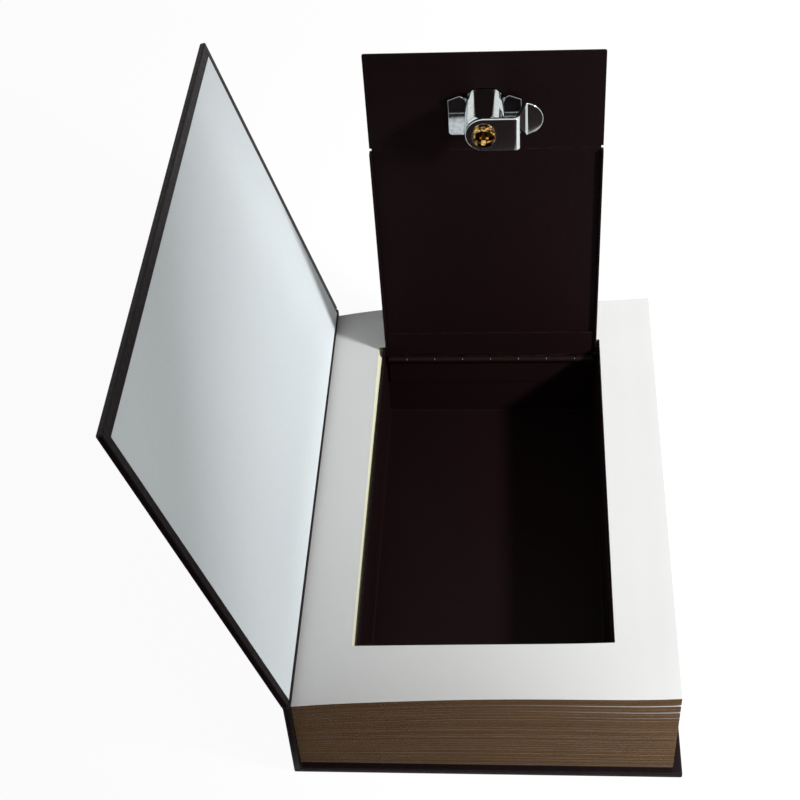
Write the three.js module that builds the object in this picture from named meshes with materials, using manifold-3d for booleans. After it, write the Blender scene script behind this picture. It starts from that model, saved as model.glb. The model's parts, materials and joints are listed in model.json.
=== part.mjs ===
// Book diversion safe: a cloth-covered book whose glued paper leaves hold a steel cash tray.
// Millimetres, +Z up. The book lies on its back cover. Its front cover stands open at the left
// and the tray's lid stands open at the head end, with the lock's cam turned aside.
// X runs from the spine to the fore-edge and Y from the tail to the head.
// The origin is the middle of the back cover's underside.

import * as THREE from 'three';
import { mergeVertices } from 'three/addons/utils/BufferGeometryUtils.js';
import Module from 'manifold-3d';

const wasm = await Module();
wasm.setup();

// Gaps
const touchGap = 0.3;            // between pieces that lie against each other in turned groups
const runningGap = 0.3;          // round a pin, plug or spring in its bore
const cutOverrun = 1;            // how far a cutter reaches past what it cuts

// Paper block
const blockWidth = 144.2;        // spine to fore-edge
const blockLength = 218.8;       // tail to head
const spineHeight = 37.6;        // paper at the spine
const shoulderRise = 1;          // the rounded step up from the spine
const bedRise = 2.2;             // steady rise toward the fore-edge
const fanRise = 4.6;             // the leaves fan apart at the fore-edge
const fanPower = 6;
const shoulderShare = 0.16;      // of the block's width
const spineSwellShare = 0.02;    // the leaves lie this much thicker at the head, at the spine
const foreSwellShare = 0.06;     // and at the fore-edge
const looseStacks = [            // stacks of leaves that part at the fore-edge, from the top
  { name: 'upper_leaves', thick: 3.9, parting: 0.8 },
  { name: 'middle_leaves', thick: 3.6, parting: 0.5 },
  { name: 'lower_leaves', thick: 3.2, parting: 0.15 },
];
const leafGap = 0.1;             // between stacks where they are still pressed together
const partingShare = 0.42;       // where the stacks start to part, of the block's width
const spineMargin = 22.8;        // paper left at the spine side of the window
const foreMargin = 23.1;         // at the fore-edge side
const tailMargin = 26.8;         // at the tail
const headMargin = 25.05;        // at the head
const bottomLeaves = 1.4;        // uncut leaves under the tray
const paperClearance = 0.3;      // window to tray
const headClearance = 0.8;       // window to tray behind the hinge, where the lid leans back

// Case: greyboards wrapped in leatherette, with paper pasted over the turn-ins' gap
const leather = 0.3;
const boardCore = 2;
const spineCore = 2.3;
const square = 2.9;              // how far the boards stand out past the paper
const foreSquare = 7.1;          // the front cover stands out further at the fore-edge
const foreTurnIn = 4.6;          // leatherette border on the inside, along the fore-edge
const tailTurnIn = 3.6;
const headTurnIn = 4.2;
const backTurnIn = 14;
const coverOpening = 106.2;      // degrees from closed

// Cash tray and lid, folded from one gauge of steel
const sheet = 0.8;
const rimRise = 1.9;             // tray's rim over the paper at the spine
const earHeight = 2.7;           // the side walls' rear ends stand above the rim
const earLength = 4.4;
const earRound = 1.2;
const trayBend = 2;              // outer radius of the bend between floor and side
const lidFrontGap = 3.2;         // lid's free edge to the front wall
const lidSideGap = 0.4;
const lidRecess = 0.1;           // lid's top below the rim
const lidRear = 3.3;             // hinge axis to the lid's rear edge
const lidCorner = 0.8;
const lidOpening = 90.5;         // degrees from closed
const flangeDepth = 2.2;         // side flange below the lid's underside
const flangeMargin = 45.8;       // flange's front end to the lid's free edge
const flangeRound = 1.6;
const reliefDepth = 0.9;         // bend relief notch, into the lid's side
const reliefLength = 1.6;
const creaseWidth = 0.8;         // shallow groove pressed across the underside
const creaseDepth = 0.15;

// Piano hinge
const barrelRadius = 1.5;
const pinRadius = 0.7;
const leafWidth = 15.1;          // hinge axis to the leaf's free edge
const leafSheet = 0.8;
const knucklePitch = 12.7;
const knuckleCount = 8;          // the two at the ends are cut short
const hingeSideGap = 1.5;        // hinge's end to the tray's side wall

// Cam lock
const lockMargin = 23.1;         // lock's axis to the lid's free edge
const lockHeadRadius = 9.5;
const lockHeadThick = 1.8;
const lockHeadChamfer = 0.4;
const lockBodyRadius = 7.85;
const lockBodyDepth = 20.6;      // lid's underside to the body's end
const lockEndChamfer = 0.7;
const lockFlat = 6.6;            // lock's axis to the flats toward the hinge and the free edge
const plugRadius = 4.8;
const plugFaceRecess = 0.3;      // plug's face below the lock's face
const spigotSide = 6;            // square end of the plug that drives the cam
const keywayWidth = 1.8;
const keywayHeight = 5.4;
const keywayOffset = 0.8;        // keyway's middle to the plug's axis
const keywayDepth = 14.6;
const gripWall = 0.5;            // body left between the bore and the grooves that the clip grips
const gripDepth = 4.2;

// Wafers and their springs, inside the plug
const waferCount = 5;
const waferThick = 0.7;
const firstWafer = 3;            // lid's underside to the first wafer
const waferTail = 4.6;           // end of the wafers' row to the body's end, with room for the screw
const waferHalfHeight = 3.7;
const waferLeft = 2.9;           // plug's axis to the wafer's left side
const waferRight = 1.4;          // plug's axis to the wafer's right side
const lugReach = 2.9;            // plug's axis to the lug's end
const lugTop = 3.5;
const lugBottom = 2.4;
const waferWindowEdge = 0.2;     // window past the keyway, all round
const grooveRadius = 5.7;        // grooves in the bore that sprung wafers lock into
const springSeat = 2.6;          // plug's axis to the spring's seat
const springRadius = 0.35;
const springWire = 0.25;
const springTurns = 6;

// Horseshoe clip that holds the lock against the lid
const clipWidth = 29.2;
const clipTipReach = 5.2;        // lock's axis to the open tips
const clipBackReach = 13;        // lock's axis to the closed end
const clipBow = 2;
const clipSheet = 0.9;
const clipStandOff = 0.65;       // lid to the middle of the clip's strip where it is nearest
const clipTipRound = 2.4;
const clipBackRound = 1.5;
const clipFold = 0.12;           // softness of the fold between the clip's two slopes, as a share of a slope

// Cam, its screw and the catch that it turns under
const camWidth = 14.6;
const camSheet = 1.6;
const camBendReach = 13;         // lock's axis to the middle of the riser, at the plate
const camLean = 3;               // the riser leans outward by this much
const camTipReach = 23.1;
const camTongueDepth = 11;       // lid's underside to the middle of the tongue
const camBend = 1.7;             // radius at the middle of the sheet
const screwHeadRadius = 4.7;
const screwHeadHeight = 1.9;
const screwShankRadius = 1.6;
const screwShankLength = 7;
const recessWidth = 0.9;         // cross recess in the screw's head
const recessLength = 5.2;
const recessDepth = 0.9;
const catchSheet = 1;
const catchWidth = 30;
const catchReach = 7.6;          // front wall to the catch's lip
const catchRise = 8;
const catchGap = 0.4;            // tongue to the catch's lip
const catchBend = 1.2;

// Facets
const roundSteps = 32;
const fineSteps = 16;
const arcSteps = 5;
const wireSides = 3;             // in each half of the spring wire's circle
const turnSteps = 8;             // in each turn of a spring

// Places worked out from the sizes above
const coverThick = boardCore + 2 * leather;
const caseWidth = leather + spineCore + blockWidth + square;
const caseLength = blockLength + 2 * square;
const caseLeft = -caseWidth / 2;
const caseRight = caseWidth / 2;
const caseTail = -caseLength / 2;
const caseHead = caseLength / 2;
const paperLeft = caseLeft + leather + spineCore;
const paperRight = paperLeft + blockWidth;
const paperTail = -blockLength / 2;
const hingeBeadRadius = coverThick / 2;
const coverHingeX = caseLeft + hingeBeadRadius;
const spineTop = coverThick + spineHeight + leather;
const coverHingeZ = spineTop + hingeBeadRadius;
const coverReach = paperRight + foreSquare - coverHingeX; // hinge line to the front cover's free edge
const trayLeft = paperLeft + spineMargin + paperClearance;
const trayRight = paperRight - foreMargin - paperClearance;
const trayWidth = trayRight - trayLeft;
const trayMiddle = (trayLeft + trayRight) / 2;
const trayFront = paperTail + tailMargin + paperClearance;
const trayBack = -paperTail - headMargin - headClearance;
const trayBottom = coverThick + bottomLeaves;
const trayRim = coverThick + spineHeight + rimRise;
const leafBack = barrelRadius + touchGap / 2;     // hinge axis to the back of either leaf
const lidHingeY = trayBack - sheet - leafBack;
const lidHingeZ = trayRim - lidRecess - sheet - touchGap - leafBack;
const lidReach = lidHingeY - trayFront - sheet - lidFrontGap; // hinge axis to the lid's free edge
const flangeReach = lidReach - flangeMargin;      // hinge axis to the flange's front end
const lockReach = lidReach - lockMargin;          // hinge axis to the lock's axis
const lidHalfWidth = trayWidth / 2 - sheet - lidSideGap;
const hingeLength = trayWidth - 2 * sheet - 2 * hingeSideGap;
const camTop = lockBodyDepth + touchGap;          // lid's underside to the cam's near face
const camFace = camTop + camSheet;                // lid's underside to the cam's far face
const lockFace = sheet + touchGap + lockHeadThick; // lid's underside to the lock's outer face
const grip = grooveRadius + gripWall;             // lock's axis to the floor of the clip's grooves
const waferPitch = (lockBodyDepth - waferTail - firstWafer) / waferCount;
const grooveStart = firstWafer - waferPitch;
const grooveEnd = firstWafer + waferPitch * waferCount;

// Colours from the photograph
const paint = { leather: 0x191416, paper: 0xd9d6cc, board: 0x8d8375, lining: 0xc3cbcd };
const metal = { steel: 0x23181a, chrome: 0xc9cbcc, brass: 0xb98d45 };

function finish(color, roughness, metalness = 0) {
  return new THREE.MeshStandardMaterial({ color, roughness, metalness });
}

const leatherette = finish(paint.leather, 0.55);
const paper = finish(paint.paper, 0.9);
const greyboard = finish(paint.board, 0.95);
const liningPaper = finish(paint.lining, 0.8);
const paintedSteel = finish(metal.steel, 0.6, 0.2);
const chrome = finish(metal.chrome, 0.18, 1);
const brass = finish(metal.brass, 0.3, 1);

// Geometry helpers

// A box between two places on each axis.
function slab(xs, ys, zs) {
  const size = [xs, ys, zs].map(([from, to]) => to - from);
  const middle = [xs, ys, zs].map(([from, to]) => (from + to) / 2);
  return new THREE.BoxGeometry(...size).translate(...middle);
}

// A round bar along X, Y or Z between two places.
function bar(axis, radius, from, to, steps = roundSteps) {
  const geometry = new THREE.CylinderGeometry(radius, radius, to - from, steps);
  geometry.translate(0, (from + to) / 2, 0);
  if (axis === 'x') geometry.rotateZ(-Math.PI / 2);
  if (axis === 'z') geometry.rotateX(Math.PI / 2);
  return geometry;
}

// A turned piece about Z. Each point is a radius and a height.
function turned(points, steps = roundSteps) {
  const profile = points.map(([radius, height]) => new THREE.Vector2(radius, height));
  return new THREE.LatheGeometry(profile, steps).rotateX(Math.PI / 2);
}

// An outline in X and Z, extruded along Y.
function extrudeAlongY(shape, from, to) {
  const geometry = new THREE.ExtrudeGeometry(shape, { depth: to - from, bevelEnabled: false });
  return geometry.rotateX(Math.PI / 2).translate(0, to, 0);
}

// An outline in X and Y, extruded along Z.
function extrudeAlongZ(shape, from, to) {
  const geometry = new THREE.ExtrudeGeometry(shape, { depth: to - from, bevelEnabled: false });
  return geometry.translate(0, 0, from);
}

// An outline in Y and Z, extruded along X.
function extrudeAlongX(shape, from, to) {
  const geometry = new THREE.ExtrudeGeometry(shape, { depth: to - from, bevelEnabled: false });
  return geometry.rotateY(Math.PI / 2).rotateX(Math.PI / 2).translate(from, 0, 0);
}

// Two places, the lower one first.
function inOrder(a, b) {
  return [Math.min(a, b), Math.max(a, b)];
}

function shapeOf(points) {
  return new THREE.Shape(points.map(([x, y]) => new THREE.Vector2(x, y)));
}

// A rectangle whose corners are rounded where a radius is given: lower left, lower right,
// upper right, upper left.
function roundedRectangle([left, right], [low, high], radii) {
  const corners = [[left, low, 1, 1], [right, low, -1, 1], [right, high, -1, -1], [left, high, 1, -1]];
  const points = [];
  corners.forEach(([x, y, inX, inY], index) => {
    const radius = radii[index];
    if (radius === 0) {
      points.push([x, y]);
      return;
    }
    for (let step = 0; step <= arcSteps; step += 1) {
      const turn = Math.PI + (index + step / arcSteps) * Math.PI / 2;
      points.push([x + inX * radius + radius * Math.cos(turn), y + inY * radius + radius * Math.sin(turn)]);
    }
  });
  const distinct = points.filter(([x, y], index) => {
    const [nextX, nextY] = points[(index + 1) % points.length];
    return Math.hypot(nextX - x, nextY - y) > Number.EPSILON * cutOverrun * points.length ** 2;
  });
  return shapeOf(distinct);
}

// The section of a strip of sheet that runs through corners, with round bends.
function bentStrip(corners, thick, bend) {
  const path = [];
  corners.forEach(([x, y], index) => {
    const here = new THREE.Vector2(x, y);
    if (index === 0 || index === corners.length - 1) {
      path.push(here);
      return;
    }
    const before = new THREE.Vector2(...corners[index - 1]).sub(here).normalize();
    const after = new THREE.Vector2(...corners[index + 1]).sub(here).normalize();
    const half = Math.acos(before.dot(after)) / 2;
    const tangent = bend / Math.tan(half);
    const centre = before.clone().add(after).normalize().multiplyScalar(bend / Math.sin(half)).add(here);
    const start = here.clone().addScaledVector(before, tangent).sub(centre);
    const end = here.clone().addScaledVector(after, tangent).sub(centre);
    const sweep = Math.atan2(start.cross(end), start.dot(end));
    for (let step = 0; step <= arcSteps; step += 1) {
      path.push(start.clone().rotateAround(new THREE.Vector2(), sweep * step / arcSteps).add(centre));
    }
  });
  return stripAlong(path, thick);
}

// A strip of even thickness along a path of points.
function stripAlong(path, thick) {
  const sides = [[], []];
  path.forEach((point, index) => {
    const before = path[Math.max(index - 1, 0)];
    const after = path[Math.min(index + 1, path.length - 1)];
    const along = after.clone().sub(before).normalize();
    const across = new THREE.Vector2(-along.y, along.x).multiplyScalar(thick / 2);
    sides[0].push(point.clone().add(across));
    sides[1].unshift(point.clone().sub(across));
  });
  return new THREE.Shape([...sides[1], ...sides[0]]);
}

// Solids for cutting and joining

function toSolid(geometry) {
  const bare = geometry.clone();
  bare.deleteAttribute('normal');
  bare.deleteAttribute('uv');
  const merged = mergeVertices(bare);
  return new wasm.Manifold(new wasm.Mesh({
    numProp: 3,
    vertProperties: new Float32Array(merged.attributes.position.array),
    triVerts: new Uint32Array(merged.index.array),
  }));
}

function toGeometry(solid) {
  const { numProp, vertProperties, triVerts } = solid.getMesh();
  const positions = new Float32Array(vertProperties.length / numProp * 3);
  for (let vertex = 0; vertex < positions.length / 3; vertex += 1) {
    positions.set(vertProperties.subarray(vertex * numProp, vertex * numProp + 3), vertex * 3);
  }
  const geometry = new THREE.BufferGeometry();
  geometry.setAttribute('position', new THREE.BufferAttribute(positions, 3));
  geometry.setIndex(new THREE.BufferAttribute(new Uint32Array(triVerts), 1));
  geometry.computeVertexNormals();
  return geometry;
}

function join(...geometries) {
  return toGeometry(geometries.map(toSolid).reduce((whole, piece) => whole.add(piece)));
}

function cut(geometry, ...cutters) {
  return toGeometry(cutters.map(toSolid).reduce((whole, piece) => whole.subtract(piece), toSolid(geometry)));
}

function common(geometry, other) {
  return toGeometry(toSolid(geometry).intersect(toSolid(other)));
}

function mesh(name, geometry, material) {
  const piece = new THREE.Mesh(geometry, material);
  piece.name = name;
  return piece;
}

// Paper block

// Height of the paper over the back cover, at a share of the way from spine to fore-edge.
function paperHeight(share) {
  const shoulder = shoulderRise * Math.sin(Math.PI / 2 * Math.min(share / shoulderShare, 1));
  return spineHeight + shoulder + bedRise * share + fanRise * share ** fanPower;
}

// How far a stack has parted from the one below it.
function partedGap(share, parting) {
  const openShare = Math.max(0, share - partingShare) / (1 - partingShare);
  return leafGap + parting * openShare ** 2;
}

// Top of the stack with this index, counted from the top; the block itself comes last.
function stackTop(index, share) {
  return looseStacks.slice(0, index).reduce(
    (height, { thick, parting }) => height - thick - partedGap(share, parting),
    paperHeight(share),
  );
}

// The leaves lie thicker at the head, so heights grow along Y.
function swellTowardHead(geometry) {
  const position = geometry.attributes.position;
  for (let vertex = 0; vertex < position.count; vertex += 1) {
    const along = (position.getY(vertex) - paperTail) / blockLength;
    const across = (position.getX(vertex) - paperLeft) / blockWidth;
    const swell = spineSwellShare + (foreSwellShare - spineSwellShare) * across;
    const height = position.getZ(vertex) - coverThick;
    position.setZ(vertex, coverThick + height * (1 + swell * along));
  }
  return geometry;
}

const paperStations = Array.from({ length: fineSteps + 1 }, (_, step) => step / fineSteps);

// A slice of the paper between two heights, each given at a share of the width.
function paperSlice(low, high) {
  const at = (share, height) => [paperLeft + blockWidth * share, coverThick + height];
  const upper = paperStations.map((share) => at(share, high(share)));
  const lower = paperStations.map((share) => at(share, low(share)));
  const outline = low(0) === 0 ? [at(0, 0), at(1, 0)] : lower;
  return swellTowardHead(extrudeAlongY(shapeOf([...outline, ...upper.reverse()]), paperTail, -paperTail));
}

// The window through the leaves that the tray stands in.
function trayWindow(bottom) {
  return slab(
    [trayLeft - paperClearance, trayRight + paperClearance],
    [trayFront - paperClearance, trayBack + headClearance],
    [bottom, coverHingeZ + coverReach],
  );
}

function paperPieces() {
  const last = looseStacks.length;
  const block = paperSlice(() => 0, (share) => stackTop(last, share));
  const pieces = [mesh('page_block', cut(block, trayWindow(trayBottom - paperClearance)), paper)];
  looseStacks.forEach(({ name, thick }, index) => {
    const slice = paperSlice((share) => stackTop(index, share) - thick, (share) => stackTop(index, share));
    pieces.push(mesh(name, cut(slice, trayWindow(coverThick)), paper));
  });
  return pieces;
}

// Case

// Leatherette over the spine and the back cover, with the turn-ins and the joint's bead.
function backCaseWrap() {
  const underTurnIn = coverThick - leather;
  const section = [
    [caseLeft, 0],
    [caseRight, 0],
    [caseRight, coverThick],
    [caseRight - backTurnIn, coverThick],
    [caseRight - backTurnIn, underTurnIn],
    [caseRight - leather, underTurnIn],
    [caseRight - leather, leather],
    [caseLeft + leather, leather],
    [caseLeft + leather, spineTop],
    [paperLeft, spineTop],
  ];
  for (let step = 0; step <= fineSteps; step += 1) {
    const turn = Math.PI * step / fineSteps;
    section.push([
      coverHingeX + hingeBeadRadius * Math.cos(turn),
      coverHingeZ + hingeBeadRadius * Math.sin(turn),
    ]);
  }
  const parts = [extrudeAlongY(shapeOf(section), caseTail, caseHead)];
  for (const side of [-1, 1]) {
    const edge = side * caseHead;
    parts.push(
      slab([caseLeft, paperLeft], inOrder(edge, edge - side * square), [0, spineTop]),
      slab([caseLeft, caseRight], inOrder(edge, edge - side * leather), [0, coverThick]),
      slab([paperLeft, caseRight], inOrder(edge, edge - side * backTurnIn), [underTurnIn, coverThick]),
    );
  }
  return join(...parts);
}

function casePieces() {
  const backLength = [caseTail + leather, caseHead - leather];
  const backCore = slab([paperLeft, caseRight - leather], backLength, [leather, coverThick - leather]);
  const spineBoard = slab([caseLeft + leather, paperLeft], [paperTail, -paperTail], [leather, spineTop]);
  const endpaper = slab([paperLeft, caseRight - backTurnIn],
    [caseTail + backTurnIn, caseHead - backTurnIn], [coverThick - leather, coverThick]);
  return [
    mesh('spine_and_back_wrap', backCaseWrap(), leatherette),
    mesh('back_cover_board', backCore, greyboard),
    mesh('spine_board', spineBoard, greyboard),
    mesh('back_endpaper', endpaper, liningPaper),
  ];
}

// The front cover is drawn shut, about its hinge line, and its group turns it open.
function frontCover() {
  const near = hingeBeadRadius + touchGap;
  const half = coverThick / 2;
  const outside = slab([near, coverReach], [caseTail, caseHead], [-half, half]);
  const pocket = slab([near + leather, coverReach - leather],
    [caseTail + leather, caseHead - leather], [leather - half, half - leather]);
  const opening = slab([near + leather, coverReach - foreTurnIn],
    [caseTail + tailTurnIn, caseHead - headTurnIn], [-half - cutOverrun, 0]);
  const inset = leather + touchGap;
  const core = slab([near + inset, coverReach - inset],
    [caseTail + inset, caseHead - inset], [inset - half, half - inset]);
  const endpaper = slab([near + inset, coverReach - foreTurnIn - touchGap],
    [caseTail + tailTurnIn + touchGap, caseHead - headTurnIn - touchGap], [-half, leather - half]);
  const group = new THREE.Group();
  group.add(
    mesh('front_cover_wrap', cut(outside, pocket, opening), leatherette),
    mesh('front_cover_board', core, greyboard),
    mesh('front_endpaper', endpaper, liningPaper),
  );
  group.position.set(coverHingeX, 0, coverHingeZ);
  group.rotation.y = -THREE.MathUtils.degToRad(coverOpening);
  return group;
}

// Cash tray

function trayShell() {
  const inner = trayBend - sheet;
  const outside = roundedRectangle([trayLeft, trayRight], [trayBottom, trayRim], [trayBend, trayBend, 0, 0]);
  const inside = roundedRectangle([trayLeft + sheet, trayRight - sheet],
    [trayBottom + sheet, trayRim + cutOverrun], [inner, inner, 0, 0]);
  const behindHinge = slab([trayLeft + sheet, trayRight - sheet],
    [trayBack - sheet - cutOverrun, trayBack + cutOverrun], [lidHingeZ, trayRim + cutOverrun]);
  const open = cut(
    extrudeAlongY(outside, trayFront, trayBack),
    extrudeAlongY(inside, trayFront + sheet, trayBack - sheet),
    behindHinge,
  );
  const ear = roundedRectangle([trayBack - earLength, trayBack], [trayRim - earLength, trayRim + earHeight],
    [0, 0, earRound, earRound]);
  return join(
    open,
    extrudeAlongX(ear, trayLeft, trayLeft + sheet),
    extrudeAlongX(ear, trayRight - sheet, trayRight),
  );
}

// One leaf of the piano hinge about X, standing up behind the axis, with every other knuckle.
function hingeLeaf() {
  const ys = [leafBack - leafSheet, leafBack];
  const foot = barrelRadius + touchGap;
  const end = hingeLength / 2;
  const parts = [slab([-end, end], ys, [foot, leafWidth])];
  for (let index = 1; index < knuckleCount; index += 2) {
    const nominal = (index - knuckleCount / 2) * knucklePitch;
    const from = nominal + touchGap / 2;
    const to = Math.min(nominal + knucklePitch - touchGap / 2, end);
    parts.push(slab([from, to], ys, [0, foot + leafSheet]), bar('x', barrelRadius, from, to, fineSteps));
  }
  return cut(join(...parts), bar('x', pinRadius + runningGap, -end - cutOverrun, end + cutOverrun, fineSteps));
}

// The lip that the cam's tongue turns under, spot welded inside the front wall.
function lockCatch() {
  const wall = trayFront + sheet;
  const lipZ = trayRim - lidRecess - sheet - camTongueDepth + camSheet / 2 + catchGap + catchSheet / 2;
  const legY = wall + catchSheet / 2;
  const section = bentStrip([[wall + catchReach, lipZ], [legY, lipZ], [legY, lipZ + catchRise]], catchSheet, catchBend);
  return extrudeAlongX(section, trayMiddle - catchWidth / 2, trayMiddle + catchWidth / 2);
}

function trayPieces() {
  const pin = bar('x', pinRadius, -hingeLength / 2, hingeLength / 2, fineSteps);
  return [
    mesh('cash_tray', trayShell(), paintedSteel),
    mesh('tray_hinge_leaf', hingeLeaf().rotateY(Math.PI).translate(trayMiddle, lidHingeY, lidHingeZ), paintedSteel),
    mesh('hinge_pin', pin.translate(trayMiddle, lidHingeY, lidHingeZ), paintedSteel),
    mesh('lock_catch', lockCatch(), paintedSteel),
  ];
}

// Lid, drawn shut about the hinge axis

function lidPanel() {
  const low = leafBack + touchGap;
  const high = low + sheet;
  const outline = roundedRectangle([-lidHalfWidth, lidHalfWidth], [-lidReach, -lidRear],
    [lidCorner, lidCorner, 0, 0]);
  const parts = [extrudeAlongZ(outline, low, high)];
  for (const side of [-1, 1]) {
    const flange = roundedRectangle([-flangeReach, -lidRear], [low - flangeDepth, high], [0, flangeRound, 0, 0]);
    parts.push(extrudeAlongX(flange, ...inOrder(side * lidHalfWidth, side * (lidHalfWidth - sheet))));
  }
  const cutters = [-1, 1].map((side) => slab(
    inOrder(side * (lidHalfWidth + cutOverrun), side * (lidHalfWidth - reliefDepth)),
    [-flangeReach - reliefLength, -flangeReach],
    [low - flangeDepth - cutOverrun, high + cutOverrun],
  ));
  const creaseY = -flangeReach - reliefLength / 2;
  cutters.push(slab([-lidHalfWidth - cutOverrun, lidHalfWidth + cutOverrun],
    [creaseY - creaseWidth / 2, creaseY + creaseWidth / 2], [low - creaseDepth, low + creaseDepth]));
  const holeHalf = lockFlat + touchGap;
  const hole = common(
    bar('z', lockBodyRadius + touchGap, low - cutOverrun, high + cutOverrun),
    slab([-lockHeadRadius, lockHeadRadius], [-holeHalf, holeHalf], [low - cutOverrun, high + cutOverrun]),
  );
  cutters.push(hole.translate(0, -lockReach, 0));
  return cut(join(...parts), ...cutters);
}

// Lock pieces, about the lock's axis, with the lid's underside at zero and its top toward +Z

function lockHousing() {
  const bore = plugRadius + runningGap;
  const body = turned([
    [bore, -lockBodyDepth],
    [lockBodyRadius - lockEndChamfer, -lockBodyDepth],
    [lockBodyRadius, -lockBodyDepth + lockEndChamfer],
    [lockBodyRadius, sheet + touchGap],
    [lockHeadRadius, sheet + touchGap],
    [lockHeadRadius, lockFace - lockHeadChamfer],
    [lockHeadRadius - lockHeadChamfer, lockFace],
    [bore, lockFace],
    [bore, -lockBodyDepth],
  ]);
  const reach = lockBodyRadius + cutOverrun;
  const cutters = [];
  for (const side of [-1, 1]) {
    cutters.push(
      slab(inOrder(side * grip, side * reach), [-reach, reach], [-gripDepth, -touchGap / 2]),
      slab([-reach, reach], inOrder(side * lockFlat, side * reach), [-lockBodyDepth - cutOverrun, sheet + touchGap]),
    );
  }
  const grooveHalf = waferLeft + runningGap;
  const depths = [-grooveEnd, -grooveStart];
  const round = bar('z', grooveRadius, ...depths);
  cutters.push(
    common(slab([-grooveHalf, grooveHalf], [-reach, reach], depths), round),
    common(slab([-reach, reach], [-grooveHalf, grooveHalf], depths), round),
  );
  return cut(body, ...cutters);
}

// Middle of a wafer, from the lid's underside.
function waferPlace(index) {
  return -(firstWafer + waferPitch * index);
}

function lockPlug() {
  const face = lockFace - plugFaceRecess;
  const barrel = bar('z', plugRadius, -lockBodyDepth, face);
  const spigot = slab([-spigotSide / 2, spigotSide / 2], [-spigotSide / 2, spigotSide / 2],
    [-camFace, -lockBodyDepth + cutOverrun]);
  const keyway = slab([-keywayOffset - keywayWidth / 2, -keywayOffset + keywayWidth / 2],
    [-keywayHeight / 2, keywayHeight / 2], [-keywayDepth, face + cutOverrun]);
  const thread = bar('z', screwShankRadius + runningGap, -camFace - cutOverrun,
    -camFace + screwShankLength, fineSteps);
  const reach = plugRadius + cutOverrun;
  const slots = [];
  for (let index = 0; index < waferCount; index += 1) {
    const half = waferThick / 2 + runningGap;
    const zs = [waferPlace(index) - half, waferPlace(index) + half];
    slots.push(
      slab([-waferLeft - runningGap, waferRight + runningGap], [-reach, reach], zs),
      slab([0, lugReach + runningGap], [-springSeat, reach], zs),
    );
  }
  return cut(join(barrel, spigot), keyway, thread, ...slots);
}

// A flat wafer with a window for the key and a lug that its spring pushes on.
function wafer(index) {
  const zs = [waferPlace(index) - waferThick / 2, waferPlace(index) + waferThick / 2];
  const plate = slab([-waferLeft, waferRight], [-waferHalfHeight, waferHalfHeight], zs);
  const lug = slab([0, lugReach], [lugBottom, lugTop], zs);
  const halfWindow = keywayWidth / 2 + waferWindowEdge;
  const windowEnd = keywayHeight / 2 + waferWindowEdge;
  const window = slab([-keywayOffset - halfWindow, -keywayOffset + halfWindow],
    [-windowEnd, windowEnd], [zs[0] - cutOverrun, zs[1] + cutOverrun]);
  return cut(join(plate, lug), window);
}

// A coil spring between its seat in the plug and the wafer's lug.
function waferSpring(index) {
  const clear = (springWire + runningGap) / 2;
  const from = -springSeat + clear;
  const to = lugBottom - clear;
  const middleX = (waferRight + lugReach + runningGap) / 2;
  const steps = springTurns * turnSteps;
  const points = Array.from({ length: steps + 1 }, (_, step) => {
    const turn = step / turnSteps * 2 * Math.PI;
    return new THREE.Vector3(
      middleX + springRadius * Math.cos(turn),
      from + (to - from) * step / steps,
      waferPlace(index) + springRadius * Math.sin(turn),
    );
  });
  const wire = new THREE.Shape();
  wire.absarc(0, 0, springWire / 2, 0, 2 * Math.PI);
  const extrudePath = new THREE.CatmullRomCurve3(points);
  return new THREE.ExtrudeGeometry(wire, { steps, curveSegments: wireSides, bevelEnabled: false, extrudePath });
}

// The horseshoe's strip slopes toward the lid from its closed end and from its tips.
function lockClip() {
  const half = clipWidth / 2;
  const path = Array.from({ length: fineSteps + 1 }, (_, step) => {
    const share = step / fineSteps;
    const depth = clipStandOff + clipBow * Math.hypot(2 * share - 1, clipFold);
    return new THREE.Vector2(clipBackReach - (clipBackReach + clipTipReach) * share, -depth);
  });
  const strip = extrudeAlongX(stripAlong(path, clipSheet), -half, half);
  const deepest = -clipBow - clipStandOff - clipSheet;
  const outline = roundedRectangle([-half, half], [-clipTipReach, clipBackReach],
    [clipTipRound, clipTipRound, clipBackRound, clipBackRound]);
  const slotHalf = grip + touchGap;
  const slot = slab([-slotHalf, slotHalf], [-clipTipReach - cutOverrun, 0], [deepest, 0]);
  const around = slab([-slotHalf, slotHalf], [-cutOverrun, clipBackReach], [deepest, 0]);
  const slotEnd = common(around, bar('z', lockBodyRadius + touchGap, deepest, 0));
  return cut(common(strip, extrudeAlongZ(outline, deepest, 0)), slot, slotEnd);
}

// The cam steps back toward the lid, so that its tongue lies close under the catch.
function lockCam() {
  const plate = -(camTop + camFace) / 2;
  const section = bentStrip([
    [-camWidth / 2 - cutOverrun, plate],
    [camBendReach, plate],
    [camBendReach + camLean, -camTongueDepth],
    [camTipReach + cutOverrun, -camTongueDepth],
  ], camSheet, camBend);
  const half = camWidth / 2;
  const strip = extrudeAlongY(section, -half, half);
  const outline = roundedRectangle([-half, camTipReach], [-half, half], [half, half, half, half]);
  const hole = [-spigotSide / 2 - touchGap, spigotSide / 2 + touchGap];
  const spigotHole = slab(hole, hole, [-camFace - cutOverrun, -lockBodyDepth]);
  return cut(common(strip, extrudeAlongZ(outline, -camFace - cutOverrun, 0)), spigotHole);
}

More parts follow.
